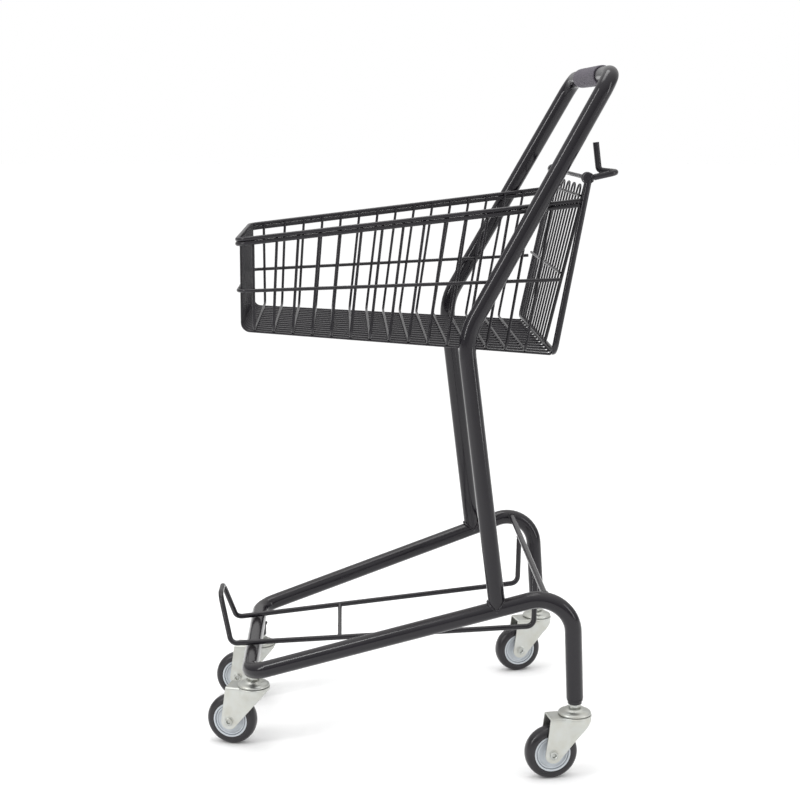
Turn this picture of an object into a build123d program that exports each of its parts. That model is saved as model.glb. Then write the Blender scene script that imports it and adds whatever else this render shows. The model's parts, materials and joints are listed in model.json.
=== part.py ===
from build123d import *
import os

# Small nesting supermarket cart: wire basket with a swing gate, lower wire rack,
# two bent tube frames and four swivel casters. Rear (handle end) is +X, up is +Z.
os.makedirs("parts", exist_ok=True)

# ---- Tube frames ----
TUBE_R = 12.0
TUBE_WALL = 1.5
REAR_X, REAR_W, REAR_Z = 229.8, 244.0, 280.0
FRONT_X, FRONT_W, FRONT_Z = -226.7, 161.0, 133.5
LEG_X, LEG_W, LEG_END_Z = 238.8, 227.0, 116.0
REAR_BEND, FRONT_BEND = 48.0, 32.0
FOOT_X = 127.3
KNEE_X, KNEE_W, KNEE_Z = 80.3, 212.4, 632.0
HANDLE_X, HANDLE_W, HANDLE_Z = 279.9, 183.9, 987.0
KNEE_BEND, HANDLE_BEND = 90.0, 30.0
GRIP_WALL, GRIP_HALF = 2.5, 98.0
GRIP_R = TUBE_R + GRIP_WALL
WELD_GAP = 0.15

# ---- Cross brace and lower rack ----
BRACE_R, BRACE_X, BRACE_Z = 4.5, 194.3, 266.5
RACK_R = 4.0
RACK_FRONT_X, RACK_REAR_X = -259.2, 192.6
RACK_FRONT_W, RACK_REAR_W = 65.0, 112.0
RACK_CROSS_Z = FRONT_Z + TUBE_R + RACK_R + 0.3
RACK_SLOPE = 0.083
RACK_BEND = 12.0
LOOP_X, LOOP_W, LOOP_Z, LOOP_BEND = -277.0, 27.0, 213.0, 22.0
RACK_BAR_R, RACK_BAR_X = 3.2, -95.5

# ---- Basket ----
BASKET_FRONT = -234.2
RIM_R, RIM_PITCH = 3.0, 6.15
RIM_Z0, RIM_SLOPE = 761.3, 0.1165
RIM_W0, RIM_W_SLOPE = 157.5, 0.0605
RIM_BEND = 16.0
MID_R, MID_Z0, MID_SLOPE, MID_END_X = 2.5, 690.3, 0.041, 212.3
U_COUNT, U_R = 15, 2.0
U_FIRST_X, U_LAST_X = -211.7, 164.9
U_Z0, U_SLOPE = 638.0, -0.069
U_W0, U_W_SLOPE = 156.0, 0.0945
U_BEND, U_LEAN = 8.0, 0.185
FLOOR_HALF_COUNT, FLOOR_R, FLOOR_BEND = 7, 1.75, 12.0
FLOOR_INSET = 0.5

# ---- Rear frame, gate and hook ----
POST_R = 4.5
POST_FOOT_X, POST_FOOT_W, POST_FOOT_Z = 205.0, 195.0, 606.5
HINGE_X, HINGE_Z = 248.8, 847.0
POST_TOP_X, POST_TOP_W = 250.0, 188.5
POST_BEND = 14.0
PIN_R, PIN_FIT = 3.0, 0.05
EYE_R, EYE_WIDTH = 7.7, 8.0
GATE_R, GATE_FOOT_X, GATE_FOOT_Z = 2.5, 196.0, 615.5
GATE_FOOT_W, GATE_TOP_W, GATE_BEND = 159.0, 178.0, 12.0
GATE_WIRE_R, GATE_WIRE_COUNT = 1.5, 12
GATE_BAR_R = 2.0
GATE_BARS_Z = (716.0, 823.0)
HAIRPIN_Z = 836.0
HOOK_R, HOOK_RISE = 4.3, 0.22
HOOK_START_X, HOOK_END_X, HOOK_BACK_X = 256.9, 287.0, 266.2
HOOK_Z, HOOK_DEPTH, HOOK_TOP_X, HOOK_TOP_Z = 848.0, 20.0, 261.3, 895.0

# ---- Casters ----
CASTER_FRONT = (-224.4, 97.0)
CASTER_REAR = (LEG_X, LEG_W)
TRAIL, WHEEL_R, WHEEL_WIDTH = 34.4, 38.0, 24.0
TURN = {"front_left": -16.0, "front_right": -11.0, "rear_left": 9.0, "rear_right": 14.0}
HUB_R, HUB_WIDTH, HUB_BORE_R = 27.0, 22.0, 5.08
RACE_R, RACE_BASE_Z, RACE_TOP_Z, SHEET = 23.5, 92.3, 101.5, 2.2
CROWN_Z, CROWN_R, FORK_HALF = 91.8, 24.0, 17.0
STEM_R, STEM_FOOT_Z, STEM_FIT = 6.0, 84.5, 0.05
RIVET_R, RIVET_H = 9.5, 3.0
AXLE_R, AXLE_FIT, BUSH_R = 4.0, 0.05, 5.0
BOLT_HEAD_R, BOLT_HEAD_H = 6.5, 4.0
SOCKET_R, SOCKET_TOP_Z = 10.0, 128.0
SOCKET_FOOT_Z = 108.0
PLUG_R, PLUG_TOP_Z, FLANGE_R, FLANGE_Z, FLANGE_H = 8.6, 130.0, 11.0, 112.0, 2.4


def save(builder, name, pivot=(0, 0, 0), turn=0.0):
    """Turn a finished piece about an upright axis, label it and write its STEP file."""
    piece = builder.part.rotate(Axis(pivot, (0, 0, 1)), turn) if turn else builder.part
    piece.label = name
    export_step(piece, f"parts/{name}.step")


def mirrored(points):
    """Continue a path that ends at the centre plane with its mirror image."""
    return points + [(x, -y, z) for x, y, z in reversed(points)]


def round_bar(points, radius, bends=None, mode=Mode.ADD):
    """Sweep a round bar along straight runs with an optional radius at each bend."""
    with BuildLine() as path:
        if bends:
            FilletPolyline(points, radius=bends)
        else:
            Polyline(*points)
    with BuildSketch(Plane(origin=path.line @ 0, z_dir=path.line % 0)) as section:
        Circle(radius)
    sweep(sections=section.sketch, path=path.line, mode=mode)


def rim_w(x):
    """Half width of the basket rim at a station along the cart."""
    return RIM_W0 + RIM_W_SLOPE * (x - BASKET_FRONT)


def rim_z(x):
    """Height of the upper rim rod at a station along the cart."""
    return RIM_Z0 + RIM_SLOPE * (x - BASKET_FRONT)


def cross_w(x):
    """Half width of the basket floor at a station along the cart."""
    return U_W0 + U_W_SLOPE * (x - BASKET_FRONT)


def cross_z(x):
    """Height of the cross wires under the basket floor."""
    return U_Z0 + U_SLOPE * (x - BASKET_FRONT)


def lean_at(x):
    """Backward lean of the basket's wires at a station along the cart."""
    share = max(0.0, x - U_FIRST_X) / (U_LAST_X - U_FIRST_X)
    return U_LEAN * share ** 0.5


def side_tube(x):
    """Centre of the base side tube at a station along the cart: half width and height."""
    share = (x - FRONT_X) / (REAR_X - FRONT_X)
    return FRONT_W + share * (REAR_W - FRONT_W), FRONT_Z + share * (REAR_Z - FRONT_Z)


base_half = [
    (LEG_X, -LEG_W, LEG_END_Z),
    (REAR_X, -REAR_W, REAR_Z),
    (FRONT_X, -FRONT_W, FRONT_Z),
]
base_path = mirrored(base_half)
base_bends = [REAR_BEND, FRONT_BEND, FRONT_BEND, REAR_BEND]

# ---- Base frame: one tube from leg to leg round the front ----
with BuildPart() as base_frame:
    round_bar(base_path, TUBE_R, base_bends)
    round_bar(base_path, TUBE_R - TUBE_WALL, base_bends, Mode.SUBTRACT)
save(base_frame, "base_frame")

# ---- Handle frame: both uprights and the crossbar in one bent tube ----
foot_w, foot_z = side_tube(FOOT_X)
handle_half = [
    (FOOT_X, -foot_w, foot_z),
    (KNEE_X, -KNEE_W, KNEE_Z),
    (HANDLE_X, -HANDLE_W, HANDLE_Z),
]
handle_path = mirrored(handle_half)
handle_bends = [KNEE_BEND, HANDLE_BEND, HANDLE_BEND, KNEE_BEND]
with BuildPart() as handle_frame:
    round_bar(handle_path, TUBE_R, handle_bends)
    round_bar(handle_path, TUBE_R - TUBE_WALL, handle_bends, Mode.SUBTRACT)
    for side in (-1, 1):
        low = (FRONT_X, side * FRONT_W, FRONT_Z)
        high = (REAR_X, side * REAR_W, REAR_Z)
        round_bar([low, high], TUBE_R + WELD_GAP, mode=Mode.SUBTRACT)
save(handle_frame, "handle_frame")

# ---- Grip sleeve ----
with BuildPart() as handle_grip:
    with BuildSketch(Plane(origin=(HANDLE_X, GRIP_HALF, HANDLE_Z), z_dir=(0, -1, 0))):
        Circle(GRIP_R)
        Circle(TUBE_R + PIN_FIT, mode=Mode.SUBTRACT)
    extrude(amount=2 * GRIP_HALF)
    fillet(handle_grip.edges().filter_by(GeomType.CIRCLE).sort_by(SortBy.RADIUS)[-2:], 1.5)
save(handle_grip, "handle_grip")

# ---- Cross brace between the side tubes ----
brace_w, _ = side_tube(BRACE_X)
with BuildPart() as cross_brace:
    brace_half = brace_w - TUBE_R - 0.9
    round_bar([(BRACE_X, -brace_half, BRACE_Z), (BRACE_X, brace_half, BRACE_Z)], BRACE_R)
save(cross_brace, "cross_brace")

# ---- Lower rack: a wire loop with an upturned nose, and its cross bar ----
rack_front_z = RACK_CROSS_Z + RACK_SLOPE * (RACK_FRONT_X - FRONT_X)
rack_rear_z = RACK_CROSS_Z + RACK_SLOPE * (RACK_REAR_X - FRONT_X)
rack_half = [
    (BRACE_X, -RACK_REAR_W, BRACE_Z - BRACE_R - RACK_R - WELD_GAP),
    (RACK_REAR_X, -RACK_REAR_W, rack_rear_z),
    (RACK_FRONT_X, -RACK_FRONT_W, rack_front_z),
    (LOOP_X, -LOOP_W, LOOP_Z),
]
with BuildPart() as lower_rack:
    round_bar(
        mirrored(rack_half),
        RACK_R,
        [RACK_BEND, RACK_BEND, LOOP_BEND, LOOP_BEND, RACK_BEND, RACK_BEND],
    )
save(lower_rack, "lower_rack")

bar_share = (RACK_BAR_X - RACK_FRONT_X) / (RACK_REAR_X - RACK_FRONT_X)
bar_w = RACK_FRONT_W + bar_share * (RACK_REAR_W - RACK_FRONT_W) - RACK_R - 0.4
bar_z = RACK_CROSS_Z + RACK_SLOPE * (RACK_BAR_X - FRONT_X)
with BuildPart() as rack_cross_bar:
    round_bar([(RACK_BAR_X, -bar_w, bar_z), (RACK_BAR_X, bar_w, bar_z)], RACK_BAR_R)
save(rack_cross_bar, "rack_cross_bar")

# ---- Basket rims: two rods one above the other, round the front ----
post_run = (POST_TOP_X - POST_FOOT_X) / (HINGE_Z - POST_FOOT_Z)
for name, drop in (("basket_rim_upper", 0.0), ("basket_rim_lower", RIM_PITCH)):
    rim_end_z = rim_z(HINGE_X) - drop - RIM_R
    rim_end_x = POST_TOP_X - post_run * (HINGE_Z - rim_end_z) - POST_R - 0.5
    rim_half = [
        (rim_end_x, -rim_w(rim_end_x), rim_z(rim_end_x) - drop),
        (BASKET_FRONT, -RIM_W0, RIM_Z0 - drop),
    ]
    with BuildPart() as basket_rim:
        round_bar(mirrored(rim_half), RIM_R, [RIM_BEND, RIM_BEND])
    save(basket_rim, name)

# ---- Cross wires: U-shaped, leaning back a little more towards the rear ----
cross_pitch = (U_LAST_X - U_FIRST_X) / (U_COUNT - 1)
cross_paths = []
for index in range(U_COUNT):
    foot_x = U_FIRST_X + index * cross_pitch
    top_x = foot_x + lean_at(foot_x) * (rim_z(foot_x) - cross_z(foot_x))
    top_w = rim_w(top_x) - RIM_R - U_R - 0.6
    cross_paths.append([
        (top_x, -top_w, rim_z(top_x)),
        (foot_x, -cross_w(foot_x), cross_z(foot_x)),
    ])
with BuildPart() as basket_cross_wires:
    for half in cross_paths:
        round_bar(mirrored(half), U_R, [U_BEND, U_BEND])
save(basket_cross_wires, "basket_cross_wires")

# ---- Middle side wire, round the front outside the cross wires ----


def side_w_at(half, height):
    """Half width of a cross wire's side where it passes a given height."""
    (_, top_y, top_z), (_, low_y, low_z) = half
    return -(low_y + (top_y - low_y) * (height - low_z) / (top_z - low_z))


mid_clear = U_R + MID_R + 0.45
mid_first_w = side_w_at(cross_paths[0], MID_Z0) + mid_clear
mid_rear_z = MID_Z0 + MID_SLOPE * (MID_END_X - BASKET_FRONT)
mid_last_w = side_w_at(cross_paths[-1], mid_rear_z) + mid_clear
mid_w_slope = (mid_last_w - mid_first_w) / (U_LAST_X - U_FIRST_X)
mid_front_w = mid_first_w - mid_w_slope * (U_FIRST_X - BASKET_FRONT)
mid_end_w = mid_first_w + mid_w_slope * (MID_END_X - U_FIRST_X)
front_wire_x = BASKET_FRONT + RIM_R + FLOOR_R + 0.15
mid_front_x = front_wire_x - FLOOR_R - MID_R - 0.15
with BuildPart() as basket_mid_wire:
    mid_half = [(MID_END_X, -mid_end_w, mid_rear_z), (mid_front_x, -mid_front_w, MID_Z0)]
    round_bar(mirrored(mid_half), MID_R, [RIM_BEND, RIM_BEND])
save(basket_mid_wire, "basket_mid_wire")

# ---- Long wires: the floor, bent up into the front wall ----
floor_drop = U_R + FLOOR_R + 0.15
floor_end_x = POST_FOOT_X - POST_R - 0.4
with BuildPart() as basket_long_wires:
    for index in range(-FLOOR_HALF_COUNT, FLOOR_HALF_COUNT + 1):
        share = index / FLOOR_HALF_COUNT
        rear_w = share * (cross_w(floor_end_x) - U_BEND - FLOOR_INSET)
        front_w = share * (cross_w(front_wire_x) - U_BEND - FLOOR_INSET)
        rear = (floor_end_x, rear_w, cross_z(floor_end_x) - floor_drop)
        corner = (front_wire_x, front_w, cross_z(front_wire_x) - floor_drop)
        top = (front_wire_x, share * (RIM_W0 - RIM_BEND), RIM_Z0 + RIM_R)
        round_bar([rear, corner, top], FLOOR_R, [FLOOR_BEND])
save(basket_long_wires, "basket_long_wires")

# ---- Rear frame: two posts and the bar across the floor's rear edge ----
pin_half = POST_TOP_W + EYE_WIDTH / 2 + 1.0
pin_path = [(HINGE_X, -pin_half, HINGE_Z), (HINGE_X, pin_half, HINGE_Z)]
post_half = [
    (POST_TOP_X, -POST_TOP_W, HINGE_Z),
    (POST_FOOT_X, -POST_FOOT_W, POST_FOOT_Z),
]
with BuildPart() as basket_rear_frame:
    round_bar(mirrored(post_half), POST_R, [POST_BEND, POST_BEND])
    for side in (-1, 1):
        eye_plane = Plane(
            origin=(HINGE_X, side * (POST_TOP_W - EYE_WIDTH / 2), HINGE_Z), z_dir=(0, side, 0)
        )
        with BuildSketch(eye_plane):
            Circle(EYE_R)
        extrude(amount=EYE_WIDTH)
    round_bar(pin_path, PIN_R + PIN_FIT, mode=Mode.SUBTRACT)
save(basket_rear_frame, "basket_rear_frame")

# ---- Hinge rod through the post eyes ----
with BuildPart() as hinge_rod:
    round_bar(pin_path, PIN_R)
save(hinge_rod, "hinge_rod")

# ---- Bag hook: a rod bent back, round and up beside the near post ----
hook_w = POST_TOP_W
hook_z = HOOK_Z + HOOK_RISE * (HOOK_END_X - HOOK_START_X)
hook_back_z = hook_z + 2.0
with BuildPart() as bag_hook:
    round_bar(
        [
            (HOOK_START_X, -hook_w, HOOK_Z),
            (HOOK_END_X, -hook_w, hook_z),
            (HOOK_END_X, HOOK_DEPTH - hook_w, hook_z),
            (HOOK_BACK_X, HOOK_DEPTH - hook_w, hook_back_z),
            (HOOK_TOP_X, HOOK_DEPTH - hook_w, HOOK_TOP_Z),
        ],
        HOOK_R,
        [9.0, 9.0, 7.0],
    )
save(bag_hook, "bag_hook")

# ---- Gate frame: a wire U whose ends curl round the hinge rod ----
gate_run = (HINGE_X - GATE_FOOT_X) / (HINGE_Z - GATE_FOOT_Z)


def gate_x(height):
    """Station of the gate's plane at a given height."""
    return HINGE_X - gate_run * (HINGE_Z - height)


def gate_w(height):
    """Half width of the gate frame at a given height."""
    share = (height - GATE_FOOT_Z) / (HINGE_Z - GATE_FOOT_Z)
    return GATE_FOOT_W + share * (GATE_TOP_W - GATE_FOOT_W)


gate_half = [(HINGE_X, -GATE_TOP_W, HINGE_Z), (GATE_FOOT_X, -GATE_FOOT_W, GATE_FOOT_Z)]
with BuildPart() as gate_frame:
    round_bar(mirrored(gate_half), GATE_R, [GATE_BEND, GATE_BEND])
    for side in (-1, 1):
        curl = Plane(origin=(HINGE_X, side * GATE_TOP_W, HINGE_Z), z_dir=(0, 1, 0))
        with BuildSketch(curl):
            Circle(PIN_R + PIN_FIT + 2 * GATE_R)
        extrude(amount=GATE_R, both=True)
    round_bar(pin_path, PIN_R + PIN_FIT, mode=Mode.SUBTRACT)
save(gate_frame, "gate_frame")

# ---- Gate wires: six long hairpins standing on the gate's foot ----
wire_step = 2 * GATE_FOOT_W / (GATE_WIRE_COUNT + 1)
wire_set = 1.0
wire_foot_z = GATE_FOOT_Z + GATE_R + 0.3
with BuildPart() as gate_wires:
    for pair in range(GATE_WIRE_COUNT // 2):
        left = -GATE_FOOT_W + (2 * pair + 1) * wire_step
        right = left + wire_step
        spread = gate_w(HAIRPIN_Z) / GATE_FOOT_W
        crown_y = (left + right) / 2 * spread
        half_gap = wire_step * spread / 2
        round_bar(
            [
                (gate_x(wire_foot_z) - wire_set, left, wire_foot_z),
                (gate_x(HAIRPIN_Z) - wire_set, crown_y - half_gap, HAIRPIN_Z),
                (gate_x(HAIRPIN_Z) - wire_set, crown_y + half_gap, HAIRPIN_Z),
                (gate_x(wire_foot_z) - wire_set, right, wire_foot_z),
            ],
            GATE_WIRE_R,
            [11.0, 11.0],
        )
save(gate_wires, "gate_wires")

# ---- Gate cross bars on the inner face ----
bar_set = wire_set + GATE_WIRE_R + GATE_BAR_R + 0.2
with BuildPart() as gate_cross_bars:
    for height in GATE_BARS_Z:
        x = gate_x(height) - bar_set
        w = gate_w(height) + GATE_R
        round_bar([(x, -w, height), (x, w, height)], GATE_BAR_R)
save(gate_cross_bars, "gate_cross_bars")


# ---- Casters ----
def caster(tag, stem_x, stem_y, is_front):
    """Write every piece of one swivel caster, wheel trailing towards the front."""
    axle_x = stem_x - TRAIL
    pivot = (stem_x, stem_y, 0)
    turn = TURN[tag]
    stem_top = SOCKET_TOP_Z - 8.0

    with BuildPart() as stem:
        with BuildSketch(Plane(origin=(stem_x, stem_y, STEM_FOOT_Z))):
            Circle(RIVET_R)
        extrude(amount=RIVET_H)
        with BuildSketch(Plane(origin=(stem_x, stem_y, STEM_FOOT_Z + RIVET_H))):
            Circle(STEM_R)
        extrude(amount=stem_top - STEM_FOOT_Z - RIVET_H)
        chamfer(stem.faces().sort_by(Axis.Z)[-1].edges(), 1.0)
    save(stem, f"stem_{tag}")

    with BuildPart() as socket:
        if is_front:
            with BuildSketch(Plane(origin=(stem_x, stem_y, SOCKET_FOOT_Z))):
                Circle(SOCKET_R)
            extrude(amount=SOCKET_TOP_Z - SOCKET_FOOT_Z)
            low = (FRONT_X, -FRONT_W, FRONT_Z)
            high = (FRONT_X, FRONT_W, FRONT_Z)
            round_bar([low, high], TUBE_R + WELD_GAP, mode=Mode.SUBTRACT)
        else:
            with BuildSketch(Plane(origin=(stem_x, stem_y, FLANGE_Z))):
                Circle(FLANGE_R)
            extrude(amount=FLANGE_H)
            with BuildSketch(Plane(origin=(stem_x, stem_y, FLANGE_Z))):
                Circle(PLUG_R)
            extrude(amount=PLUG_TOP_Z - FLANGE_Z)
        with BuildSketch(Plane(origin=(stem_x, stem_y, SOCKET_FOOT_Z - 5.0))):
            Circle(STEM_R + STEM_FIT)
        extrude(amount=SOCKET_TOP_Z, mode=Mode.SUBTRACT)
    save(socket, f"socket_{tag}")

    with BuildPart() as race:
        with BuildSketch(Plane.XZ.offset(-stem_y)) as race_section:
            with BuildLine():
                Polyline(
                    (stem_x + STEM_R + STEM_FIT, RACE_TOP_Z),
                    (stem_x + 12.0, RACE_TOP_Z),
                    (stem_x + 19.0, RACE_TOP_Z - 2.5),
                    (stem_x + RACE_R, RACE_BASE_Z + 3.5),
                    (stem_x + RACE_R, RACE_BASE_Z),
                    (stem_x + RACE_R - SHEET, RACE_BASE_Z),
                    (stem_x + RACE_R - SHEET, RACE_BASE_Z + 2.8),
                    (stem_x + 18.0, RACE_TOP_Z - 2.5 - SHEET),
                    (stem_x + 11.6, RACE_TOP_Z - SHEET),
                    (stem_x + STEM_R + STEM_FIT, RACE_TOP_Z - SHEET),
                    close=True,
                )
            make_face()
        revolve(axis=Axis((stem_x, stem_y, 0), (0, 0, 1)))
    save(race, f"upper_race_{tag}")

    leg_profile = [
        (axle_x - 6.0, CROWN_Z),
        (axle_x - 9.8, WHEEL_R + 2.0),
        (axle_x + 8.7, WHEEL_R - 5.4),
        (axle_x + 38.0, WHEEL_R + 29.0),
        (stem_x + CROWN_R - 2.0, CROWN_Z - 8.0),
        (stem_x + CROWN_R - 2.0, CROWN_Z),
    ]
    with BuildPart() as fork:
        for face in (-1, 1):
            inner = stem_y + face * (FORK_HALF - SHEET)
            with BuildSketch(Plane(origin=(0, inner, 0), x_dir=(1, 0, 0), z_dir=(0, -1, 0))):
                with BuildLine():
                    Polyline(*leg_profile, close=True)
                make_face()
                with Locations((axle_x, WHEEL_R)):
                    Circle(10.0)
            extrude(amount=-face * SHEET)
        with BuildSketch(Plane(origin=(stem_x, stem_y, CROWN_Z))):
            Circle(CROWN_R)
            with Locations((-18.5, 0)):
                Rectangle(37.0, 2 * FORK_HALF)
        extrude(amount=-SHEET)
        with BuildSketch(Plane(origin=(stem_x, stem_y, CROWN_Z))):
            Circle(STEM_R + STEM_FIT)
        extrude(amount=-SHEET, mode=Mode.SUBTRACT)
        with BuildSketch(Plane(origin=(axle_x, stem_y - 30.0, WHEEL_R), z_dir=(0, 1, 0))):
            Circle(AXLE_R + AXLE_FIT)
        extrude(amount=60.0, mode=Mode.SUBTRACT)
    save(fork, f"fork_{tag}", pivot, turn)

    head_y = stem_y - FORK_HALF - 0.1
    with BuildPart() as axle:
        with BuildSketch(Plane(origin=(axle_x, head_y, WHEEL_R), z_dir=(0, 1, 0))):
            Circle(AXLE_R)
        extrude(amount=2 * FORK_HALF + BOLT_HEAD_H + 2.0)
        with BuildSketch(Plane(origin=(axle_x, head_y, WHEEL_R), z_dir=(0, -1, 0))):
            RegularPolygon(BOLT_HEAD_R, 6)
        extrude(amount=BOLT_HEAD_H)
    save(axle, f"axle_bolt_{tag}", pivot, turn)

    with BuildPart() as nut:
        with BuildSketch(
            Plane(origin=(axle_x, stem_y + FORK_HALF + 0.1, WHEEL_R), z_dir=(0, 1, 0))
        ):
            RegularPolygon(BOLT_HEAD_R, 6)
            Circle(AXLE_R + AXLE_FIT, mode=Mode.SUBTRACT)
        extrude(amount=BOLT_HEAD_H)
    save(nut, f"axle_nut_{tag}", pivot, turn)

    bush_half = FORK_HALF - SHEET - 0.1
    with BuildPart() as bush:
        with BuildSketch(Plane(origin=(axle_x, stem_y - bush_half, WHEEL_R), z_dir=(0, 1, 0))):
            Circle(BUSH_R)
            Circle(AXLE_R + AXLE_FIT, mode=Mode.SUBTRACT)
        extrude(amount=2 * bush_half)
    save(bush, f"axle_sleeve_{tag}", pivot, turn)

    with BuildPart() as hub:
        with BuildSketch(Plane.XZ.offset(-stem_y)):
            with BuildLine():
                Polyline(
                    (axle_x + HUB_BORE_R, WHEEL_R - HUB_WIDTH / 2 - 2.0),
                    (axle_x + HUB_BORE_R, WHEEL_R + HUB_WIDTH / 2 + 2.0),
                    (axle_x + 10.0, WHEEL_R + HUB_WIDTH / 2 + 2.0),
                    (axle_x + 10.0, WHEEL_R + 6.0),
                    (axle_x + 22.0, WHEEL_R + 6.0),
                    (axle_x + 23.5, WHEEL_R + HUB_WIDTH / 2),
                    (axle_x + HUB_R, WHEEL_R + HUB_WIDTH / 2),
                    (axle_x + HUB_R, WHEEL_R - HUB_WIDTH / 2),
                    (axle_x + 23.5, WHEEL_R - HUB_WIDTH / 2),
                    (axle_x + 22.0, WHEEL_R - 6.0),
                    (axle_x + 10.0, WHEEL_R - 6.0),
                    (axle_x + 10.0, WHEEL_R - HUB_WIDTH / 2 - 2.0),
                    close=True,
                )
            make_face()
        revolve(axis=Axis((axle_x, stem_y, WHEEL_R), (0, 0, 1)))
    hub.part = hub.part.rotate(Axis((axle_x, stem_y, WHEEL_R), (1, 0, 0)), 90)
    save(hub, f"wheel_hub_{tag}", pivot, turn)

    with BuildPart() as tyre:
        with BuildSketch(Plane(origin=(axle_x, stem_y - WHEEL_WIDTH / 2, WHEEL_R), z_dir=(0, 1, 0))):
            Circle(WHEEL_R)
            Circle(HUB_R + 0.05, mode=Mode.SUBTRACT)
        extrude(amount=WHEEL_WIDTH)
        outer_edges = tyre.edges().filter_by(GeomType.CIRCLE).sort_by(SortBy.RADIUS)[-2:]
        fillet(outer_edges, 4.0)
    save(tyre, f"tyre_{tag}", pivot, turn)


for place, front in ((CASTER_FRONT, True), (CASTER_REAR, False)):
    for side in (-1, 1):
        name = ("front" if front else "rear") + ("_left" if side < 0 else "_right")
        caster(name, place[0], side * place[1], front)
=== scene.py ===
# %% [markdown]
# # A small nesting shopping cart
# The imported model is the frame: every tube, wire and wheel is already there at its true size, and rides on a
# body that moves. This lesson adds the finishes, and models again the pieces whose look needs more care than
# a plain solid has. We start by loading the frame, with a helper that reads the box of any one of its parts.

# %% Load the frame
import bpy
import bmesh
import json
import math
from mathutils import Matrix, Vector, noise


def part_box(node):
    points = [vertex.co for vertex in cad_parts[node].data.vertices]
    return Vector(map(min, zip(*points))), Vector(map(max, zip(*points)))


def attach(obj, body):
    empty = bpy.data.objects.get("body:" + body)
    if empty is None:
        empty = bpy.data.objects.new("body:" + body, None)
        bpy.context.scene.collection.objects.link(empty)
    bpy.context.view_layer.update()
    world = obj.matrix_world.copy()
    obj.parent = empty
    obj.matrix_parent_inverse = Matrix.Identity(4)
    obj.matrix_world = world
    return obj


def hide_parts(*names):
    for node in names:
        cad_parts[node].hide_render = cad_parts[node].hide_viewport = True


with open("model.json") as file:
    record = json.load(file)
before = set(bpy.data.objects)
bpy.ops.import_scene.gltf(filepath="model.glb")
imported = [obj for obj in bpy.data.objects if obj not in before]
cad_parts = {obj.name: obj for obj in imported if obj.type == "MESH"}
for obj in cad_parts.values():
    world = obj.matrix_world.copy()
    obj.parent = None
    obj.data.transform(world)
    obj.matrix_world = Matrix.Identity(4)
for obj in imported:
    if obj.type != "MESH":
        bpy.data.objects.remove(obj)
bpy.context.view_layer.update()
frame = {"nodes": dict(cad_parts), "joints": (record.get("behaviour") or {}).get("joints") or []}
nodes = frame["nodes"]

# %% [markdown]
# Real carts are drawn in millimetres and Blender works in metres, so one helper turns a millimetre size into
# metres. Colours are written as the hex values a paint chart would give. Blender's shaders work in linear
# light, so a second helper turns each hex value to linear before it goes into a socket.

# %% Units and colour
MM = 0.001


def linear(hex_colour, alpha=1.0):
    """A #rrggbb paint colour as the linear values that shaders use."""
    parts = [int(hex_colour[i:i + 2], 16) / 255 for i in (1, 3, 5)]
    curve = [c / 12.92 if c <= 0.04045 else ((c + 0.055) / 1.055) ** 2.4 for c in parts]
    return (*curve, alpha)


print("gloss black in linear light:", [round(c, 4) for c in linear("#110f14")])

# %% [markdown]
# ## Camera and light
# The camera stands a little over two metres from the cart's side and slightly above its basket, with a
# fairly long lens, so the near and far wheels differ only a little in size. A plain pale floor and a pale
# world keep the eye on the cart.

# %% Camera
CAMERA_PLACE = (-0.0860, -2.3817, 0.9307)
CAMERA_DOWN, CAMERA_TURN = 0.176, -0.0352
CAMERA_LENS, CAMERA_SENSOR = 71.9, 36.0
camera_data = bpy.data.cameras.new("camera")
camera_data.lens = CAMERA_LENS
camera_data.sensor_width = CAMERA_SENSOR
camera = bpy.data.objects.new("camera", camera_data)
bpy.context.scene.collection.objects.link(camera)
camera.location = CAMERA_PLACE
camera.rotation_euler = (math.pi / 2 - CAMERA_DOWN, 0.0, CAMERA_TURN)
bpy.context.scene.camera = camera
bpy.context.scene.view_settings.view_transform = "Standard"
print("camera", [round(v, 3) for v in camera.location], "lens", CAMERA_LENS, "mm")

# %% [markdown]
# Every finish below is a small tree of shader nodes. One helper adds a node with its settings and its links,
# so a finish reads from top to bottom like a recipe. The floor is a wide matt white disc: it is far larger
# than the cart, so its edge never shows from any side.


# %% Floor
def add_node(tree, kind, settings=None, links=None):
    """Add a node, set its inputs by name or number and its properties, and link other nodes' outputs in."""
    node = tree.nodes.new(kind)
    for key, value in (settings or {}).items():
        if isinstance(key, str) and hasattr(node, key) and key not in node.inputs:
            setattr(node, key, value)
        else:
            node.inputs[key].default_value = value
    for key, source in (links or {}).items():
        tree.links.new(source, node.inputs[key])
    return node


def new_material(name):
    """An empty node material with its output node, ready for a shader."""
    material = bpy.data.materials.new(name)
    material.use_nodes = True
    material.node_tree.nodes.clear()
    tree = material.node_tree
    return material, tree, add_node(tree, "ShaderNodeOutputMaterial")


FLOOR_RADIUS = 30.0
floor_finish, tree, out = new_material("matt_white_studio_floor")
floor_shader = add_node(tree, "ShaderNodeBsdfPrincipled",
                        {"Base Color": linear("#ffffff"), "Roughness": 1.0, "Specular IOR Level": 0.0})
tree.links.new(floor_shader.outputs["BSDF"], out.inputs["Surface"])
floor_mesh = bmesh.new()
bmesh.ops.create_circle(floor_mesh, cap_ends=True, segments=96, radius=FLOOR_RADIUS)
floor_data = bpy.data.meshes.new("studio_floor")
floor_mesh.to_mesh(floor_data)
floor_mesh.free()
floor = bpy.data.objects.new("studio_floor", floor_data)
bpy.context.scene.collection.objects.link(floor)
floor.data.materials.append(floor_finish)
print("floor radius", FLOOR_RADIUS, "m")

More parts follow.
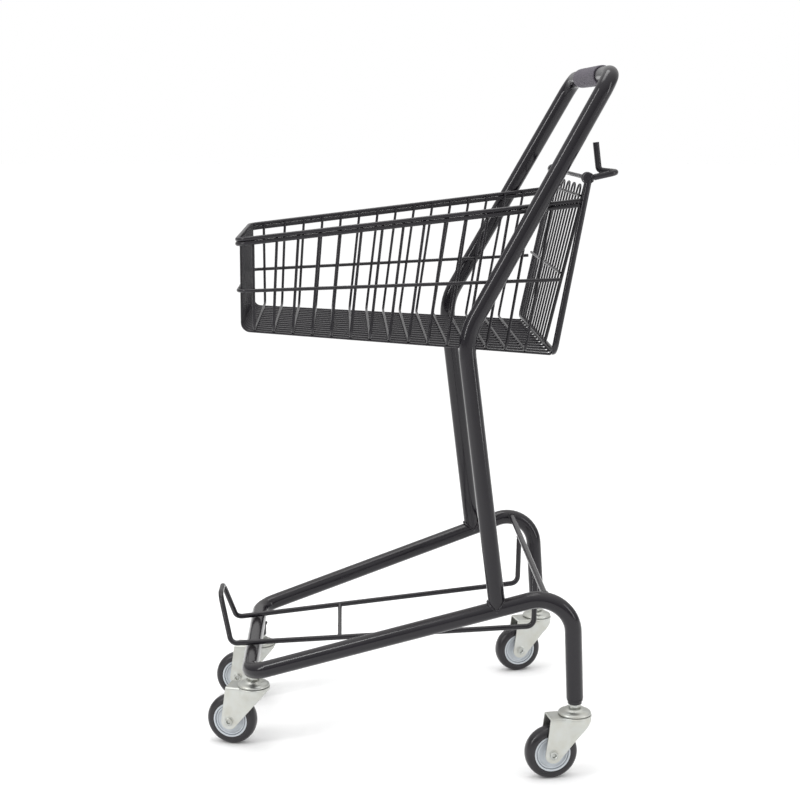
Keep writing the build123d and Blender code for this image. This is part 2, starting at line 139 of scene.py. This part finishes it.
# %% [markdown]
# A real white studio is bright overhead and dimmer at the walls, and gloss black shows just that: pale on
# top, dark at its flanks, pale again below from the floor. So the world that lights the cart runs from dim at
# the horizon to bright above, while the backdrop itself is drawn plain white. The average is chosen so that
# the floor comes out as white as the backdrop and no line shows between them. Black gloss has hardly any
# colour of its own: it is drawn by what it mirrors, so long soft lights at its sides give it its streaks.

# %% Lights
world = bpy.data.worlds.new("pale_studio")
bpy.context.scene.world = world
world.use_nodes = True
sky = world.node_tree
sky.nodes.clear()
direction = add_node(sky, "ShaderNodeTexCoord")
height = add_node(sky, "ShaderNodeSeparateXYZ", None, {0: direction.outputs["Generated"]})
HORIZON_STRENGTH, ZENITH_STRENGTH = 0.40, 1.33
strength = add_node(sky, "ShaderNodeMapRange", {1: 0.0, 2: 1.0, 3: HORIZON_STRENGTH, 4: ZENITH_STRENGTH},
                    {0: height.outputs["Z"]})
lighting = add_node(sky, "ShaderNodeBackground", {"Color": linear("#ffffff")},
                    {"Strength": strength.outputs[0]})
backdrop = add_node(sky, "ShaderNodeBackground", {"Color": linear("#ffffff"), "Strength": 1.0})
ray = add_node(sky, "ShaderNodeLightPath")
shown = add_node(sky, "ShaderNodeMixShader", None,
                 {0: ray.outputs["Is Camera Ray"], 1: lighting.outputs[0], 2: backdrop.outputs[0]})
add_node(sky, "ShaderNodeOutputWorld", None, {"Surface": shown.outputs[0]})


def softbox(name, place, aim, width, height, watts):
    """A rectangular area light at place, turned to face aim."""
    light = bpy.data.lights.new(name, "AREA")
    light.shape = "RECTANGLE"
    light.size = width
    light.size_y = height
    light.energy = watts
    box = bpy.data.objects.new(name, light)
    bpy.context.scene.collection.objects.link(box)
    box.location = place
    box.rotation_euler = (Vector(aim) - Vector(place)).to_track_quat("-Z", "Y").to_euler()
    return box


softbox("left_strip", (-2.2, -1.3, 1.9), (0, 0, 0.6), 0.30, 2.0, 24)
softbox("top_softbox", (-0.2, 0.2, 2.8), (0, 0, 0.5), 1.6, 0.9, 16)
softbox("right_strip", (2.3, -1.2, 1.1), (0, 0, 0.5), 0.25, 1.6, 9)
print("three soft lights")

# %% [markdown]
# ## Finishes
# ### Black tube: polyester powder coat on steel
# The powder is sprayed dry and baked, so it melts to a gloss skin that is never quite flat. That gives two
# things to the eye: a faint orange peel a millimetre or two across that breaks up each reflection, and a
# slow change of gloss along the tube. Handling adds thin scuffs and a little dust on faces that look up.
# Noise textures in Object coordinates make all of these, because the pieces sit at the origin and the
# pattern then stays put when a body moves.


# %% Powder coat
def coat(name, dark, light, peel_mm, gloss):
    """Gloss powder coat: cloudy colour, orange peel, uneven gloss, scuffs and a little dust on top."""
    material, tree, out = new_material(name)
    place = add_node(tree, "ShaderNodeTexCoord")
    where = place.outputs["Object"]
    cloud = add_node(tree, "ShaderNodeTexNoise", {"Scale": 1 / (70 * MM), "Detail": 3.0}, {"Vector": where})
    tint = add_node(tree, "ShaderNodeMix", {"data_type": "RGBA", 6: linear(dark), 7: linear(light)},
                    {0: cloud.outputs["Fac"]})
    stretch = add_node(tree, "ShaderNodeMapping", {"Scale": (1.0, 1.0, 0.12), "Rotation": (0.3, 0.5, 0.0)},
                       {"Vector": where})
    scuff = add_node(tree, "ShaderNodeTexNoise", {"Scale": 1 / (2.2 * MM), "Detail": 2.0},
                     {"Vector": stretch.outputs["Vector"]})
    scuff_line = add_node(tree, "ShaderNodeMapRange", {1: 0.70, 2: 0.78, 3: 0.0, 4: 1.0},
                          {0: scuff.outputs["Fac"]})
    facing = add_node(tree, "ShaderNodeNewGeometry")
    up = add_node(tree, "ShaderNodeSeparateXYZ", None, {0: facing.outputs["Normal"]})
    settled = add_node(tree, "ShaderNodeMapRange", {1: 0.55, 2: 1.0, 3: 0.0, 4: 0.35}, {0: up.outputs["Z"]})
    grit = add_node(tree, "ShaderNodeTexNoise", {"Scale": 1 / (9 * MM), "Detail": 6.0, "Roughness": 0.7},
                    {"Vector": where})
    dust = add_node(tree, "ShaderNodeMath", {"operation": "MULTIPLY"},
                    {0: settled.outputs[0], 1: grit.outputs["Fac"]})
    dust_share = add_node(tree, "ShaderNodeMath", {"operation": "MULTIPLY", 1: 0.3}, {0: dust.outputs[0]})
    dusted = add_node(tree, "ShaderNodeMix", {"data_type": "RGBA", 7: linear("#8d8883")},
                      {0: dust_share.outputs[0], 6: tint.outputs[2]})
    uneven = add_node(tree, "ShaderNodeMapRange", {1: 0.3, 2: 0.7, 3: gloss, 4: gloss + 0.10},
                      {0: cloud.outputs["Fac"]})
    duller = add_node(tree, "ShaderNodeMath", {"operation": "MULTIPLY_ADD", 1: 0.22},
                      {0: scuff_line.outputs[0], 2: uneven.outputs[0]})
    rough = add_node(tree, "ShaderNodeMath", {"operation": "ADD"},
                     {0: duller.outputs[0], 1: dust_share.outputs[0]})
    peel = add_node(tree, "ShaderNodeTexNoise", {"Scale": 1 / (peel_mm * MM), "Detail": 1.0},
                    {"Vector": where})
    bump = add_node(tree, "ShaderNodeBump", {"Strength": 0.10, "Distance": 0.10 * MM},
                    {"Height": peel.outputs["Fac"]})
    shader = add_node(tree, "ShaderNodeBsdfPrincipled", {"IOR": 1.5, "Specular IOR Level": 0.42},
                      {"Base Color": dusted.outputs[2], "Roughness": rough.outputs[0],
                       "Normal": bump.outputs[0]})
    tree.links.new(shader.outputs["BSDF"], out.inputs["Surface"])
    return material


black_tube = coat("gloss_black_powder_coat_on_steel_tube", "#110f14", "#1c191f", 3.0, 0.11)
black_wire = coat("gloss_black_powder_coat_on_steel_wire", "#110f14", "#1d1a20", 2.0, 0.16)
print("two powder coats")

# %% [markdown]
# ### Zinc: bright plate on pressed sheet and turned bolts
# The caster forks are stamped from sheet and plated in a bath. The plate keeps the rolled sheet's fine
# streaks, is a cool grey with faint straw and blue patches, and dulls where hands and floors rub it. A metal
# has no diffuse colour, so the patches go into the tint of its reflection and into its roughness.


# %% Zinc plate
def plated(name, cool, warm, rough_low, rough_high, streak):
    """Zinc plate: patchy tint, streaks of the metal below, uneven gloss."""
    material, tree, out = new_material(name)
    place = add_node(tree, "ShaderNodeTexCoord")
    where = place.outputs["Object"]
    patch = add_node(tree, "ShaderNodeTexNoise", {"Scale": 1 / (14 * MM), "Detail": 4.0}, {"Vector": where})
    tint = add_node(tree, "ShaderNodeMix", {"data_type": "RGBA", 6: linear(cool), 7: linear(warm)},
                    {0: patch.outputs["Fac"]})
    stretch = add_node(tree, "ShaderNodeMapping", {"Scale": streak}, {"Vector": where})
    grain = add_node(tree, "ShaderNodeTexNoise", {"Scale": 1 / (1.1 * MM), "Detail": 3.0},
                     {"Vector": stretch.outputs["Vector"]})
    gloss = add_node(tree, "ShaderNodeMapRange", {1: 0.3, 2: 0.7, 3: rough_low, 4: rough_high},
                     {0: patch.outputs["Fac"]})
    rough = add_node(tree, "ShaderNodeMath", {"operation": "MULTIPLY_ADD", 1: 0.10},
                     {0: grain.outputs["Fac"], 2: gloss.outputs[0]})
    bump = add_node(tree, "ShaderNodeBump", {"Strength": 0.12, "Distance": 0.05 * MM},
                    {"Height": grain.outputs["Fac"]})
    shader = add_node(tree, "ShaderNodeBsdfPrincipled", {"Metallic": 1.0},
                      {"Base Color": tint.outputs[2], "Roughness": rough.outputs[0],
                       "Normal": bump.outputs[0]})
    tree.links.new(shader.outputs["BSDF"], out.inputs["Surface"])
    return material


zinc_sheet = plated("bright_zinc_plate_on_pressed_sheet", "#c6cac9", "#bdbbb0", 0.28, 0.42,
                    streak=(1.0, 1.0, 0.15))
zinc_bolt = plated("bright_zinc_plate_on_turned_steel", "#bcc1c2", "#b2b0a5", 0.20, 0.32,
                   streak=(1.0, 0.2, 1.0))
print("two zinc finishes")

# %% [markdown]
# ### Rubber, moulded nylon and the grip
# The tyre is black rubber pressed in a polished mould: smooth and half glossy. The hub is
# a pale blue-grey nylon moulding with a soft sheen and hardly any grain. The grip is a foamed sleeve pulled
# over the tube: it is matt, a little purple-grey, and has a fine leathery grain. All three are plain
# dielectrics, so one recipe with different numbers serves them.


# %% Moulded finishes
def moulded(name, dark, light, patch_mm, rough_low, rough_high, grain_mm, grain_depth_mm):
    """Moulded rubber or plastic: patchy colour and gloss, and a skin with fine grain."""
    material, tree, out = new_material(name)
    place = add_node(tree, "ShaderNodeTexCoord")
    where = place.outputs["Object"]
    patch = add_node(tree, "ShaderNodeTexNoise",
                     {"Scale": 1 / (patch_mm * MM), "Detail": 5.0, "Roughness": 0.6}, {"Vector": where})
    contrast = add_node(tree, "ShaderNodeMapRange", {1: 0.32, 2: 0.68, 3: 0.0, 4: 1.0},
                        {0: patch.outputs["Fac"]})
    tint = add_node(tree, "ShaderNodeMix", {"data_type": "RGBA", 6: linear(dark), 7: linear(light)},
                    {0: contrast.outputs[0]})
    rough = add_node(tree, "ShaderNodeMapRange", {1: 0.0, 2: 1.0, 3: rough_low, 4: rough_high},
                     {0: contrast.outputs[0]})
    grain = add_node(tree, "ShaderNodeTexNoise", {"Scale": 1 / (grain_mm * MM), "Detail": 2.0},
                     {"Vector": where})
    bump = add_node(tree, "ShaderNodeBump", {"Strength": 0.35, "Distance": grain_depth_mm * MM},
                    {"Height": grain.outputs["Fac"]})
    shader = add_node(tree, "ShaderNodeBsdfPrincipled", {"IOR": 1.5},
                      {"Base Color": tint.outputs[2], "Roughness": rough.outputs[0],
                       "Normal": bump.outputs[0]})
    tree.links.new(shader.outputs["BSDF"], out.inputs["Surface"])
    return material


tyre_rubber = moulded("black_rubber_pressed_in_a_polished_mould", "#151317", "#211e22",
                      18, 0.24, 0.42, 1.0, 0.03)
hub_nylon = moulded("pale_blue_grey_moulded_nylon", "#bcc2c8", "#c8cdd1", 22, 0.30, 0.42, 0.9, 0.02)
grip_foam = moulded("grey_foamed_pvc_sleeve", "#4b4750", "#56515a", 30, 0.62, 0.78, 1.4, 0.12)
print("three moulded finishes")

# %% [markdown]
# ## Tubes and wires
# The frame tubes, the basket's wires, the gate and the rack are bent round bar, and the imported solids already
# have every bend at its true radius. They stay as they are and only take their finish.

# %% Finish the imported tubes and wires
for name, node in nodes.items():
    node.data.materials.clear()
    is_tube = name in ("base_frame", "handle_frame") or name.startswith("socket")
    node.data.materials.append(black_tube if is_tube else black_wire)
print(len(nodes), "packed pieces given a coat")


# %% [markdown]
# ## Helpers for turned pieces
# Wheels, races, nuts and bolts are all turned or pressed round, so the natural tool is a spin: half of the
# section is drawn as a few points, then swept a full turn. Real pieces have no knife edges, so the sections
# carry their own small chamfers, and the hex collars and nuts are bevelled. Sharp corners that remain are
# marked by angle, so that everything else shades smoothly.


# %% Spin, soften and place
def spun(section, steps=72):
    """Sweep a closed half section of (radius, height) points in mm a full turn round the upright axis."""
    mesh = bmesh.new()
    points = [mesh.verts.new((radius * MM, 0, height * MM)) for radius, height in section]
    edges = [mesh.edges.new(pair) for pair in zip(points, points[1:] + points[:1])]
    bmesh.ops.spin(mesh, geom=points + edges, cent=(0, 0, 0), axis=(0, 0, 1), dvec=(0, 0, 0),
                   angle=2 * math.pi, steps=steps, use_merge=True)
    bmesh.ops.remove_doubles(mesh, verts=mesh.verts, dist=0.001 * MM)
    bmesh.ops.recalc_face_normals(mesh, faces=mesh.faces)
    return mesh


def soften(mesh, width, segments=2, angle=25):
    """Round over every edge that turns by more than an angle."""
    limit = math.radians(angle)
    sharp = [e for e in mesh.edges if len(e.link_faces) == 2 and e.calc_face_angle(0) > limit]
    bmesh.ops.bevel(mesh, geom=sharp, offset=width * MM, offset_type="OFFSET", affect="EDGES",
                    segments=segments, profile=0.5, material=-1, clamp_overlap=True)
    return mesh


def moved(mesh, matrix):
    """Turn and shift a whole mesh."""
    bmesh.ops.transform(mesh, matrix=matrix, verts=mesh.verts)
    return mesh


def joined(meshes):
    """Put several meshes into the first one."""
    first = meshes[0]
    for other in meshes[1:]:
        carrier = bpy.data.meshes.new("carrier")
        other.to_mesh(carrier)
        other.free()
        first.from_mesh(carrier)
        bpy.data.meshes.remove(carrier)
    return first


def finish_piece(name, mesh, finish, body, stands_for=(), sharp=32):
    """Make a mesh an object with its finish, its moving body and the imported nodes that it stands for."""
    for face in mesh.faces:
        face.smooth = True
    data = bpy.data.meshes.new(name)
    mesh.to_mesh(data)
    mesh.free()
    data.set_sharp_from_angle(angle=math.radians(sharp))
    data.materials.append(finish)
    piece = bpy.data.objects.new(name, data)
    bpy.context.scene.collection.objects.link(piece)
    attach(piece, body)
    if stands_for:
        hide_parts(*stands_for)
    return piece


print("helpers ready")

# %% [markdown]
# ## Where the casters stand
# Each caster swivels, so the four stand at four angles. The frame's joints say where: the swivel joint gives
# the stem, the spin joint gives the axle, and the line between them gives the turn. Every piece is modelled
# once in the caster's own frame (stem at the origin, wheel trailing towards -X) and placed by one matrix.


# %% Caster places
def joint_places(prefix):
    """Where each joint with this prefix is, by what follows the prefix in its name."""
    return {j["name"].removeprefix(prefix): Vector(j["pos_m"])
            for j in frame["joints"] if j["name"].startswith(prefix)}


stems = joint_places("swivel_")
axles = joint_places("spin_")
caster_places = {}
for tag, stem in stems.items():
    trail = stem - axles[tag]
    turn = math.atan2(trail.y, trail.x)
    caster_places[tag] = Matrix.Translation((stem.x, stem.y, 0)) @ Matrix.Rotation(turn, 4, "Z")
    print(tag, "turned", round(math.degrees(turn), 1), "degrees")
TRAIL = 34.4
AXLE_Z = 38.0
axle_frame = Matrix.Translation((-TRAIL * MM, 0, AXLE_Z * MM)) @ Matrix.Rotation(math.pi / 2, 4, "X")

# %% [markdown]
# ## Wheels
# The tyre is a thick rubber ring with well-rounded shoulders, a faint parting line round the middle from the
# mould, and a thin lip that laps over the hub. The hub has a flat outer ring, a narrow groove, and a shallow
# dish that runs in to the boss. Both are spins of their half sections.


# %% Tyre and hub
def tyre_mesh():
    """A three inch tyre with rounded shoulders, a lip at the hub and a parting line."""
    half = [(26.2, 11.2), (26.8, 11.85), (29.0, 12.0), (31.8, 11.5), (34.0, 10.4), (35.9, 8.7), (37.2, 6.4),
            (37.8, 3.6), (37.95, 1.0), (38.0, 0.35)]
    section = half + [(r, -h) for r, h in reversed(half)]
    section += [(27.1, -10.9), (27.1, 10.9)]
    return spun(section, 96)


def hub_mesh():
    """A moulded hub: flat ring, groove, dished web and boss, the same on both faces."""
    half = [(27.0, 10.9), (26.2, 11.1), (24.0, 11.1), (23.6, 10.8), (23.4, 7.4), (22.5, 7.4), (22.3, 10.0),
            (21.7, 10.4), (20.6, 10.2), (19.4, 8.6), (16.0, 7.4), (11.8, 7.0), (10.7, 7.6), (10.2, 12.4),
            (9.4, 13.0), (5.1, 13.0)]
    return spun(half + [(r, -h) for r, h in reversed(half)], 96)


for tag, place in caster_places.items():
    tyre = moved(tyre_mesh(), place @ axle_frame)
    finish_piece("tyre_ring_" + tag, tyre, tyre_rubber, "wheel_" + tag, ["tyre_" + tag], 40)
    hub = moved(hub_mesh(), place @ axle_frame)
    finish_piece("hub_moulding_" + tag, hub, hub_nylon, "wheel_" + tag, ["wheel_hub_" + tag], 28)
print("four wheels")

# %% [markdown]
# ## Forks
# A fork is one stamping. Its crown is a flat strip that opens into a round dish under the stem, and its two
# legs hang from the crown's edges through a rounded fold. Beside the dish the legs flare out to meet it. The
# way in is to lay a grid over the whole stamping, fold each row of it into the section at that station, cut
# the legs to their outline with planes, and only then give the sheet its thickness.

# %% Fork
CROWN_Z = 91.6
DISH_R = 24.0
LEG_HALF = 17.0
SHEET = 2.2
FOLD_R = 3.2
END_R = 12.2


def fork_row(x):
    """Half the fork's section at one station: crown centre, over the fold, down the leg, in mm."""
    flare = math.sqrt(max(DISH_R ** 2 - x ** 2, 9.0))
    top = flare if x > 0 else max(LEG_HALF, flare)
    row = [(0.0, CROWN_Z), (top * 0.3, CROWN_Z), (top * 0.6, CROWN_Z), (top - FOLD_R, CROWN_Z)]
    for step in range(1, 5):
        angle = math.radians(22.5 * step)
        row.append((top - FOLD_R + FOLD_R * math.sin(angle), CROWN_Z - FOLD_R + FOLD_R * math.cos(angle)))
    for drop in (7.0, 12.0, 18.0, 25.0, 33.0, 46.0, 60.0, 76.0):
        share = min(1.0, max(0.0, (drop - FOLD_R) / 26.0))
        ease = share * share * (3 - 2 * share)
        row.append((top + (LEG_HALF - top) * ease, CROWN_Z - drop))
    return row


def fork_mesh():
    """A folded fork, cut to outline and thickened."""
    stations = 46
    half_row = len(fork_row(0.0))
    across = 2 * half_row - 1
    mesh = bmesh.new()
    bmesh.ops.create_grid(mesh, x_segments=stations, y_segments=across - 1, size=1.0)
    front = -TRAIL - 14.0
    reach = DISH_R - 0.4 - front
    for vert in mesh.verts:
        x = front + (vert.co.x + 1) / 2 * reach
        index = round((vert.co.y + 1) / 2 * (across - 1)) - (half_row - 1)
        y, z = fork_row(x)[abs(index)]
        vert.co = (x * MM, math.copysign(y, index) * MM, z * MM)
    cuts = [((-TRAIL - END_R, AXLE_Z), (-1.0, 0.14))]
    for turn in range(14):
        angle = math.radians(178 + turn * 10.9)
        out_x, out_z = math.cos(angle), math.sin(angle)
        cuts.append(((-TRAIL + END_R * out_x, AXLE_Z + END_R * out_z), (out_x, out_z)))
    for (x, z), (out_x, out_z) in cuts:
        bmesh.ops.bisect_plane(mesh, geom=mesh.verts[:] + mesh.edges[:] + mesh.faces[:], dist=0.001 * MM,
                               plane_co=(x * MM, 0, z * MM), plane_no=(out_x, 0, out_z), clear_outer=True)
    bmesh.ops.recalc_face_normals(mesh, faces=mesh.faces)
    if max(mesh.faces, key=lambda face: face.calc_center_median().z).normal.z < 0:
        bmesh.ops.reverse_faces(mesh, faces=mesh.faces)
    bmesh.ops.solidify(mesh, geom=mesh.faces[:], thickness=SHEET * MM)
    bmesh.ops.recalc_face_normals(mesh, faces=mesh.faces)
    return mesh


def dish_mesh():
    """The pressed dish round the stem, with a rolled lip and a raised bead for the balls."""
    return spun([(6.3, CROWN_Z - 1.2), (6.3, CROWN_Z + 0.25), (19.5, CROWN_Z + 0.25), (21.0, CROWN_Z + 0.1),
                 (23.6, CROWN_Z + 0.1), (24.4, CROWN_Z - 0.6), (24.4, CROWN_Z - 2.0), (23.4, CROWN_Z - 2.6),
                 (20.0, CROWN_Z - 1.6)], 96)


def boss_mesh(side):
    """A low pressed collar on the leg round the axle."""
    collar = spun([(4.2, 0.0), (4.2, 0.7), (7.2, 0.7), (8.3, 0.1), (8.3, -0.4)], 48)
    turn = Matrix.Rotation(0 if side > 0 else math.pi, 4, "X")
    return moved(collar, axle_frame @ Matrix.Translation((0, 0, side * LEG_HALF * MM)) @ turn)


for tag, place in caster_places.items():
    fork = moved(joined([fork_mesh(), dish_mesh(), boss_mesh(1), boss_mesh(-1)]), place)
    piece = finish_piece("fork_stamping_" + tag, fork, zinc_sheet, "swivel_" + tag,
                         ["fork_" + tag], 38)
print("four forks,", len(piece.data.polygons), "faces each")

# %% [markdown]
# ## Races, stems and axles
# Above each dish sits a second pressing, nearly flat with a raised middle. It closes the ring of balls and
# leaves a thin dark line between the two. A hex collar on the stem holds it against the tube's end. The axle
# is a bolt with a round pan head and a driver recess on one side, and a nut with a washer on the other.

# %% Race, collar, bolt and nut
RACE_BASE = 92.5
COLLAR_BASE, STEM_TOP = 101.5, 119.5
NUT_BASE = -21.2


def hexagon(across_flats, height, chamfer):
    """A hex collar with chamfered corners, standing on z = 0."""
    mesh = bmesh.new()
    bmesh.ops.create_circle(mesh, cap_ends=True, segments=6, radius=across_flats / math.sqrt(3) * MM)
    top = bmesh.ops.extrude_face_region(mesh, geom=mesh.faces[:])
    lifted = [g for g in top["geom"] if isinstance(g, bmesh.types.BMVert)]
    bmesh.ops.translate(mesh, verts=lifted, vec=(0, 0, height * MM))
    bmesh.ops.recalc_face_normals(mesh, faces=mesh.faces)
    return soften(mesh, chamfer)


def race_mesh():
    """The upper race: a rolled lip, a nearly flat brim and a raised shoulder round the collar."""
    return spun([(6.1, 100.6), (6.1, 101.4), (12.0, 101.4), (13.0, 100.9), (14.2, 99.2), (15.4, 98.2),
                 (18.5, 97.4), (21.4, 96.4), (22.9, 95.3), (23.5, 94.2), (23.5, 93.0), (23.0, RACE_BASE),
                 (21.6, RACE_BASE), (21.2, 94.2), (18.5, 96.0), (12.0, 98.6)], 96)


def stem_mesh(top):
    """The stem: rivet head below the fork's crown, and the round shank above."""
    return spun([(0.0, 84.5), (8.6, 84.5), (9.5, 85.3), (9.5, 87.2), (5.9, 87.5), (5.9, top - 1), (5.0, top),
                 (0.0, top)], 48)


def bolt_mesh():
    """Pan head with a round driver recess, and a plain shank, on the axle's line."""
    return spun([(0.0, 17.8), (2.1, 17.8), (2.6, 19.8), (3.3, 20.6), (5.0, 20.3), (6.0, 19.3), (6.3, 17.75),
                 (3.95, 17.75), (3.95, -22.0), (3.4, -22.6), (0.0, -22.6)], 48)


for tag, place in caster_places.items():
    race = moved(race_mesh(), place)
    finish_piece("race_dome_" + tag, race, zinc_sheet, "cart_frame", ["upper_race_" + tag], 35)
    collar = moved(hexagon(16.0, 5.4, 0.7), Matrix.Translation((0, 0, COLLAR_BASE * MM)))
    stem = joined([stem_mesh(STEM_TOP), collar])
    finish_piece("stem_and_collar_" + tag, moved(stem, place), zinc_bolt, "cart_frame",
                 ["stem_" + tag], 30)
    bolt = moved(bolt_mesh(), place @ axle_frame)
    finish_piece("pan_head_bolt_" + tag, bolt, zinc_bolt, "swivel_" + tag,
                 ["axle_bolt_" + tag], 30)
    nut = moved(hexagon(11.0, 4.0, 0.6), axle_frame @ Matrix.Translation((0, 0, NUT_BASE * MM)))
    washer = moved(spun([(4.1, -17.2), (7.0, -17.2), (7.0, -17.7), (4.1, -17.7)], 48), axle_frame)
    finish_piece("nut_and_washer_" + tag, moved(joined([nut, washer]), place), zinc_bolt, "swivel_" + tag,
                 ["axle_nut_" + tag], 30)
    nodes["axle_sleeve_" + tag].data.materials[0] = zinc_bolt
print("four races, stems, bolts and nuts")

# %% [markdown]
# ## Sockets
# Each front stem goes up into a short collar welded under the front tube, and each rear stem into a ferrule
# pressed into the leg's open end. Both are black like the tube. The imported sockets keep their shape; the
# ferrule gets a rolled lip, which is what shows under the leg.

# %% Ferrules
for tag in ("rear_left", "rear_right"):
    low, high = (Vector(corner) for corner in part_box("socket_" + tag))
    middle = (low + high) / 2
    ferrule = spun([(6.2, 107.2), (9.4, 107.2), (10.2, 108.0), (10.2, 111.6), (11.4, 112.4), (11.4, 114.2),
                    (10.6, 114.9), (8.5, 115.0), (8.5, 129.6), (6.2, 129.6)], 64)
    finish_piece("ferrule_" + tag, moved(ferrule, Matrix.Translation((middle.x, middle.y, 0))), black_tube,
                 "cart_frame", ["socket_" + tag], 35)
print("two ferrules")

# %% [markdown]
# ## Grip
# The crossbar wears a foamed sleeve. It is a plain long ring, but foam that has been pulled on is never quite
# even: it swells a little between the hands and puckers at its ends. So the section's outer line is eased
# in and out by a few tenths of a millimetre before it is spun round the crossbar.

# %% Grip sleeve
grip_low, grip_high = (Vector(corner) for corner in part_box("handle_grip"))
grip_middle = (grip_low + grip_high) / 2
grip_half = (grip_high.y - grip_low.y) / 2 / MM
outer = [(12.3, -grip_half), (13.3, -grip_half), (14.2, -grip_half + 0.8)]
steps = 40
for step in range(1, steps):
    along = -grip_half + 2 * grip_half * step / steps
    swell = 0.16 * math.sin(along * 0.21) + 0.10 * math.sin(along * 0.57 + 1.0)
    outer.append((14.28 + swell, along))
outer += [(14.2, grip_half - 0.8), (13.3, grip_half), (12.3, grip_half)]
sleeve = spun(outer, 72)
to_bar = Matrix.Translation(grip_middle) @ Matrix.Rotation(math.pi / 2, 4, "X")
finish_piece("foam_grip", moved(sleeve, to_bar), grip_foam, "cart_frame", ["handle_grip"], 40)
print("grip", round(2 * grip_half), "mm long")

# %% [markdown]
# ## Welds
# The whole cart is welded before it is coated, so each joint shows a lumpy bead under the gloss. Where one
# tube lands on another, the bead follows the saddle between them. Where rods cross, there is a small blob at
# each contact. The saddle bead is a thin ring spun about the landing tube's line, then dropped onto the tube
# below and swollen unevenly; a blob is a small ball, flattened and roughened.


# %% Bead helpers
def saddle_bead(foot, up, across, tube_r, below_r, bead_r, lumps):
    """A bead round a tube that lands on another one: foot on the lower tube's line, up along the upper."""
    up = Vector(up).normalized()
    along = (Vector(across) - Vector(across).dot(up) * up).normalized()
    side = up.cross(along)
    mesh = bmesh.new()
    bmesh.ops.create_circle(mesh, segments=10, radius=bead_r * MM)
    tilt = Matrix.Translation((tube_r * MM, 0, 0)) @ Matrix.Rotation(math.pi / 2, 4, "X")
    bmesh.ops.transform(mesh, matrix=tilt, verts=mesh.verts)
    bmesh.ops.spin(mesh, geom=mesh.verts[:] + mesh.edges[:], cent=(0, 0, 0), axis=(0, 0, 1), dvec=(0, 0, 0),
                   angle=2 * math.pi, steps=96, use_merge=True)
    bmesh.ops.remove_doubles(mesh, verts=mesh.verts, dist=0.001 * MM)
    for vert in mesh.verts:
        angle = math.atan2(vert.co.y, vert.co.x)
        ring = Vector((math.cos(angle), math.sin(angle), 0)) * tube_r * MM
        swell = 1 + 0.22 * abs(math.sin(lumps * angle / 2))
        swell += 0.15 * noise.noise(Vector((angle * 3, lumps, 0)))
        offset = (vert.co - ring) * swell
        lift = math.sqrt(max(below_r ** 2 - (tube_r * math.sin(angle)) ** 2, 0.0)) * MM
        vert.co = ring + offset + Vector((0, 0, lift))
    turn = Matrix((along, side, up)).transposed().to_4x4()
    moved(mesh, Matrix.Translation(Vector(foot) * MM) @ turn)
    bmesh.ops.recalc_face_normals(mesh, faces=mesh.faces)
    return mesh


def blob(centre, size, seed):
    """A lump of weld metal: a ball flattened to size and roughened."""
    mesh = bmesh.new()
    bmesh.ops.create_icosphere(mesh, subdivisions=3, radius=1.0)
    for vert in mesh.verts:
        rough = 1 + 0.16 * noise.noise(vert.co * 1.7 + Vector((seed, 0, 0)))
        vert.co = Vector([c * s * MM * rough for c, s in zip(vert.co, size)]) + Vector(centre) * MM
    return mesh


print("bead helpers ready")

# %% [markdown]
# Beads go where the uprights, the brace, the rack's bars, the rims, the front sockets and the hook meet the
# frame, and at the rear ends of the basket's long wires. Where the frame's boxes give the place it is read
# from them. The other places are the frame's own corners in millimetres, on one side, and all but the
# hook's are mirrored to the other.

# %% Frame welds
SIDE_LOW, SIDE_HIGH = Vector((-226.7, 161.0, 133.5)), Vector((229.8, 244.0, 280.0))
KNEE = Vector((80.3, 212.4, 632.0))
UPRIGHT_FOOT_X = 127.3
RACK_SIDE_Y = 112.0
RIM_WELD = (180.0, 186.2, 806.5)
HOOK_WELD = (253.4, -188.5, 847.2)
foot = SIDE_LOW.lerp(SIDE_HIGH, (UPRIGHT_FOOT_X - SIDE_LOW.x) / (SIDE_HIGH.x - SIDE_LOW.x))
beads = []
for side in (-1, 1):
    flip = Vector((1, side, 1))
    beads.append(saddle_bead(foot * flip, (KNEE - foot) * flip, (SIDE_HIGH - SIDE_LOW) * flip,
                             12.2, 12.0, 2.0, 22))
brace_low, brace_high = (Vector(corner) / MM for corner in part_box("cross_brace"))
brace_x, brace_z = (brace_low.x + brace_high.x) / 2, (brace_low.z + brace_high.z) / 2
for side, end in ((-1, brace_low.y), (1, brace_high.y)):
    beads.append(saddle_bead((brace_x, end + side * 0.2, brace_z), (0, -side, 0), (1, 0, 0),
                             4.6, 0.0, 1.7, 9))
    beads.append(blob((brace_x, side * RACK_SIDE_Y, brace_z - 5.6), (4.6, 5.6, 2.6), side * 3.0))
rack_low, rack_high = (Vector(corner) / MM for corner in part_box("rack_cross_bar"))
bar_x, bar_z = (rack_low.x + rack_high.x) / 2, (rack_low.z + rack_high.z) / 2
for side, end in ((-1, rack_low.y), (1, rack_high.y)):
    beads.append(blob((bar_x, end + side * 0.4, bar_z), (4.6, 2.6, 3.8), side * 5.0))
for side in (-1, 1):
    beads.append(blob((RIM_WELD[0], side * RIM_WELD[1], RIM_WELD[2]), (8.0, 2.2, 7.5), side * 7.0))
    stem = stems["front_left" if side < 0 else "front_right"] / MM
    beads.append(saddle_bead((stem.x, stem.y, SIDE_LOW.z), (0, 0, -1), (0, 1, 0),
                             10.2, 12.0, 1.6, 18))
beads.append(saddle_bead(HOOK_WELD, (1, 0, 0.22), (0, 0, 1), 4.6, 0.0, 1.5, 9))
bar_low, bar_high = (Vector(corner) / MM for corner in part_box("basket_long_wires"))
for index in range(-7, 8):
    y = index / 7 * (bar_high.y - 1.75)
    beads.append(blob((bar_high.x - 0.2, y, bar_low.z + 2.2), (1.8, 2.6, 2.0), index * 2.0))
finish_piece("frame_welds", joined(beads), black_tube, "cart_frame", (), 60)
print(len(beads), "welds")
